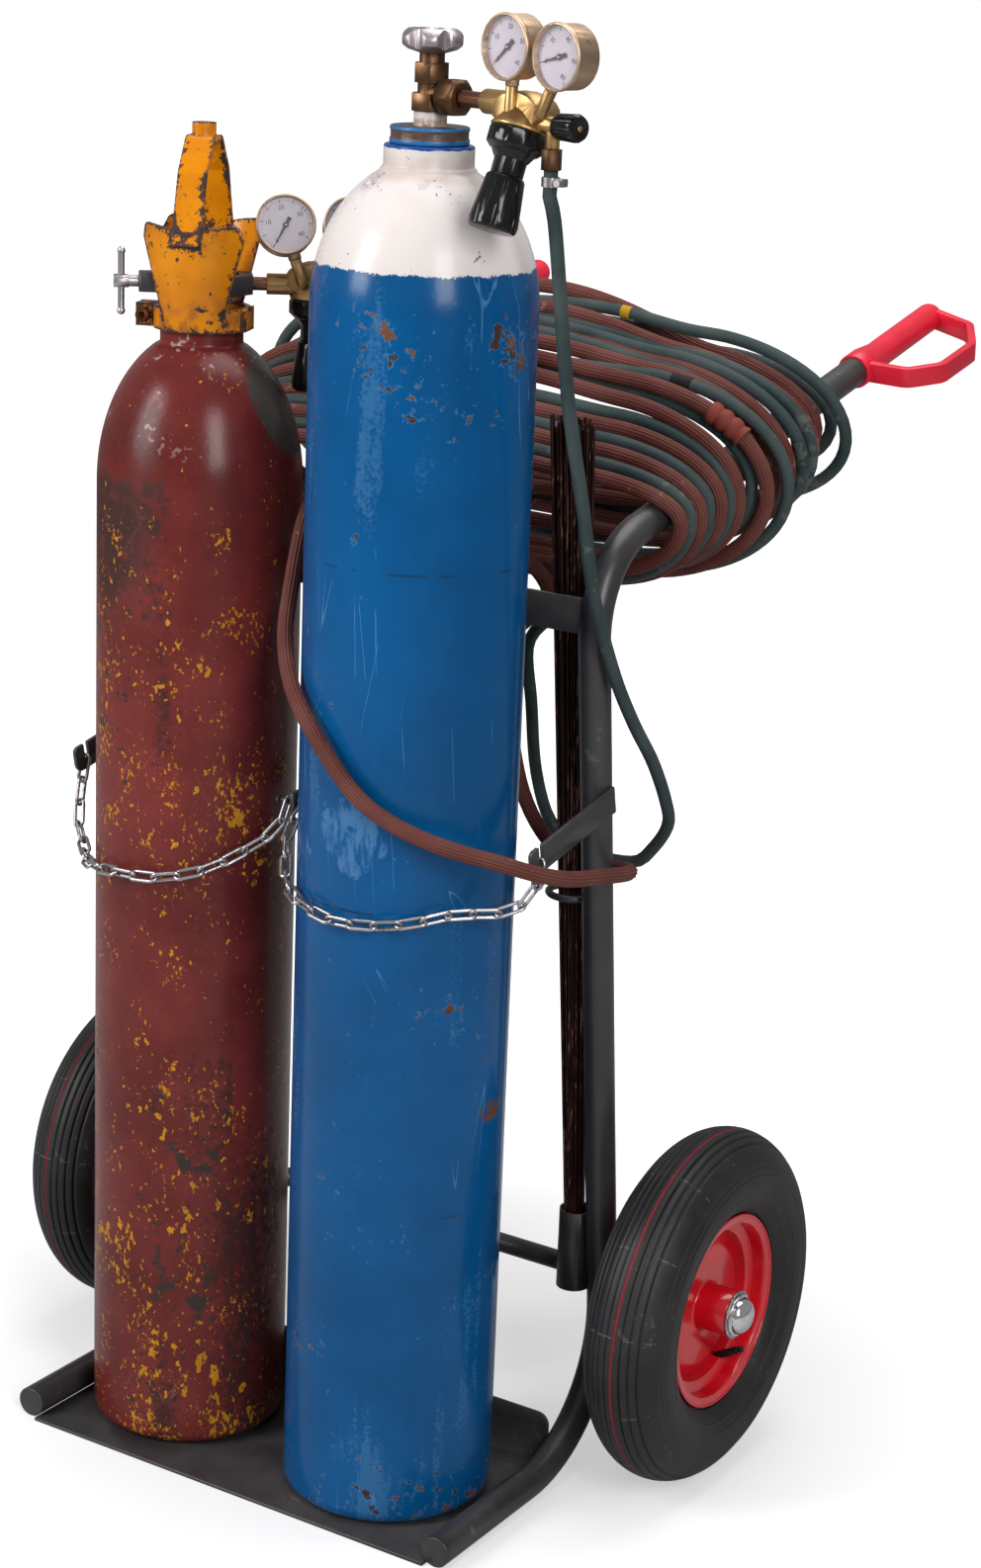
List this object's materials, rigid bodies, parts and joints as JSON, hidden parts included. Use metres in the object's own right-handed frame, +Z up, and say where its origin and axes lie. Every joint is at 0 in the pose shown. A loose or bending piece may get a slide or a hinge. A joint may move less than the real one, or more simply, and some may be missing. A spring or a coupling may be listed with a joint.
{
  "type": "gas cylinder trolley",
  "caption": "Tubular hand trolley on pneumatic wheels carrying chained oxygen and acetylene cylinders with valves, regulators, filler rods and hoses wound on its handles.",
  "frame": {"origin": "on the floor, midway between the toe plate's front edge and the rear ends of the grips", "axes": "+Z up, +Y to the rear where the handles reach, +X to the right seen from behind the load"},
  "size_m": [0.906, 1.0261, 1.5895],
  "materials": {
    "frame_paint": "satin black paint",
    "grip_red": "moulded red plastic",
    "zinc": "zinc plated",
    "chrome": "bright",
    "oxygen_paint": "chipped blue and white paint",
    "acetylene_paint": "chipped maroon paint",
    "guard_paint": "chipped yellow paint",
    "valve_brass": "dull brass",
    "body_brass": "satin brass",
    "case_brass": "lacquered",
    "knob_black": "gloss black",
    "dial_white": "printed scale",
    "lens": "clear",
    "needle_black": "matt",
    "yoke_black": "black paint",
    "rod_steel": "copper coated, tarnished",
    "red_rubber": "ribbed",
    "green_rubber": "smooth",
    "tyre_rubber": "ribbed tread",
    "rim_red": "gloss red paint",
    "bolt_rust": "rusty"
  },
  "bodies": {
    "trolley": {"frame_tube_left": "frame_paint", "frame_tube_right": "frame_paint", "tube_end_caps": "frame_paint", "toe_plate": "frame_paint", "axle": "frame_paint", "axle_washers": "zinc", "axle_caps": "chrome", "upper_crossbar": "frame_paint", "chain_bracket_left": "frame_paint", "chain_bracket_right": "frame_paint", "centre_chain_hook": "frame_paint", "rod_cup": "frame_paint", "rod_ring": "frame_paint", "filler_rods": "rod_steel", "grip_left": "grip_red", "grip_right": "grip_red", "oxygen_cylinder": "oxygen_paint", "oxygen_neck_ring": "oxygen_paint", "oxygen_valve": "valve_brass", "oxygen_inlet_nut": "valve_brass", "oxygen_regulator": "body_brass", "oxygen_bonnet": "knob_black", "acetylene_cylinder": "acetylene_paint", "acetylene_guard": "guard_paint", "guard_clamp_bolt": "bolt_rust", "acetylene_valve": "valve_brass", "acetylene_yoke": "yoke_black", "acetylene_regulator": "body_brass", "acetylene_bonnet": "knob_black", "gauge_cases": "case_brass", "gauge_dials": "dial_white", "gauge_lenses": "lens", "hose_nuts": "valve_brass", "hose_clamps": "zinc", "red_hose": "red_rubber", "red_hose_winding": "red_rubber", "green_hose": "green_rubber", "green_hose_winding": "green_rubber", "hose_connectors": "body_brass"},
    "wheel_left": {"tyre_left": "tyre_rubber", "rim_left": "rim_red", "wheel_bearings_left": "zinc", "valve_stem_left": "knob_black"},
    "wheel_right": {"tyre_right": "tyre_rubber", "rim_right": "rim_red", "wheel_bearings_right": "zinc", "valve_stem_right": "knob_black"},
    "oxygen_handwheel": {"oxygen_handwheel": "zinc"},
    "oxygen_adjusting_knob": {"oxygen_adjusting_knob": "knob_black"},
    "oxygen_outlet_knob": {"oxygen_outlet_knob": "knob_black"},
    "acetylene_adjusting_knob": {"acetylene_adjusting_knob": "knob_black"},
    "acetylene_outlet_knob": {"acetylene_outlet_knob": "knob_black"},
    "clamp_screw": {"clamp_screw": "zinc"},
    "tommy_bar": {"tommy_bar": "zinc"},
    "oxygen_cylinder_needle": {"oxygen_cylinder_needle": "needle_black"},
    "oxygen_line_needle": {"oxygen_line_needle": "needle_black"},
    "acetylene_cylinder_needle": {"acetylene_cylinder_needle": "needle_black"},
    "acetylene_line_needle": {"acetylene_line_needle": "needle_black"},
    "chain_left": {"chain_left": "zinc"},
    "chain_right": {"chain_right": "zinc"}
  },
  "joints": [
    {"name": "left_wheel_spin", "type": "hinge", "parent": "trolley", "child": "wheel_left", "pos_m": [-0.386, -0.14931, 0.2], "axis": [1, 0, 0], "continuous": true},
    {"name": "right_wheel_spin", "type": "hinge", "parent": "trolley", "child": "wheel_right", "pos_m": [0.386, -0.14931, 0.2], "axis": [1, 0, 0], "continuous": true},
    {"name": "oxygen_valve_turn", "type": "hinge", "parent": "trolley", "child": "oxygen_handwheel", "pos_m": [0.131, -0.3797, 1.544], "axis": [0, 0, 1], "continuous": true},
    {"name": "oxygen_pressure_turn", "type": "hinge", "parent": "trolley", "child": "oxygen_adjusting_knob", "pos_m": [0.25908, -0.41164, 1.499], "axis": [-0.0788, -0.3159, -0.9455], "continuous": true},
    {"name": "oxygen_outlet_turn", "type": "hinge", "parent": "trolley", "child": "oxygen_outlet_knob", "pos_m": [0.30371, -0.42277, 1.488], "axis": [0.9703, -0.2419, 0], "continuous": true},
    {"name": "acetylene_pressure_turn", "type": "hinge", "parent": "trolley", "child": "acetylene_adjusting_knob", "pos_m": [-0.05984, -0.29771, 1.3], "axis": [0, 0, -1], "continuous": true},
    {"name": "acetylene_outlet_turn", "type": "hinge", "parent": "trolley", "child": "acetylene_outlet_knob", "pos_m": [-0.0246, -0.26814, 1.289], "axis": [0.766, 0.6428, 0], "continuous": true},
    {"name": "clamp_screw_turn", "type": "hinge", "parent": "trolley", "child": "clamp_screw", "pos_m": [-0.151, -0.3742, 1.294], "axis": [0.766, 0.6428, 0], "continuous": true},
    {"name": "tommy_bar_slide", "type": "slide", "parent": "clamp_screw", "child": "tommy_bar", "axis": [0, 0, 1], "range_m": [-0.018, 0.018]},
    {"name": "oxygen_cylinder_pressure", "type": "hinge", "parent": "trolley", "child": "oxygen_cylinder_needle", "pos_m": [0.25448, -0.42595, 1.558], "axis": [0.2419, 0.9703, 0], "range_deg": [0, 270]},
    {"name": "oxygen_line_pressure", "type": "hinge", "parent": "trolley", "child": "oxygen_line_needle", "pos_m": [0.32143, -0.44264, 1.553], "axis": [0.2419, 0.9703, 0], "range_deg": [0, 270]},
    {"name": "acetylene_cylinder_pressure", "type": "hinge", "parent": "trolley", "child": "acetylene_cylinder_needle", "pos_m": [-0.08522, -0.32036, 1.35411], "axis": [-0.6209, 0.7399, -0.2588], "range_deg": [0, 270]},
    {"name": "acetylene_line_pressure", "type": "hinge", "parent": "trolley", "child": "acetylene_line_needle", "pos_m": [-0.0316, -0.27536, 1.35411], "axis": [-0.6209, 0.7399, -0.2588], "range_deg": [0, 270]},
    {"name": "left_chain_swing", "type": "hinge", "parent": "trolley", "child": "chain_left", "pos_m": [0, -0.38531, 0.758], "axis": [-1, 0, 0], "range_deg": [0, 40]},
    {"name": "right_chain_swing", "type": "hinge", "parent": "trolley", "child": "chain_right", "pos_m": [0, -0.38531, 0.758], "axis": [-1, 0, 0], "range_deg": [0, 30]}
  ]
}
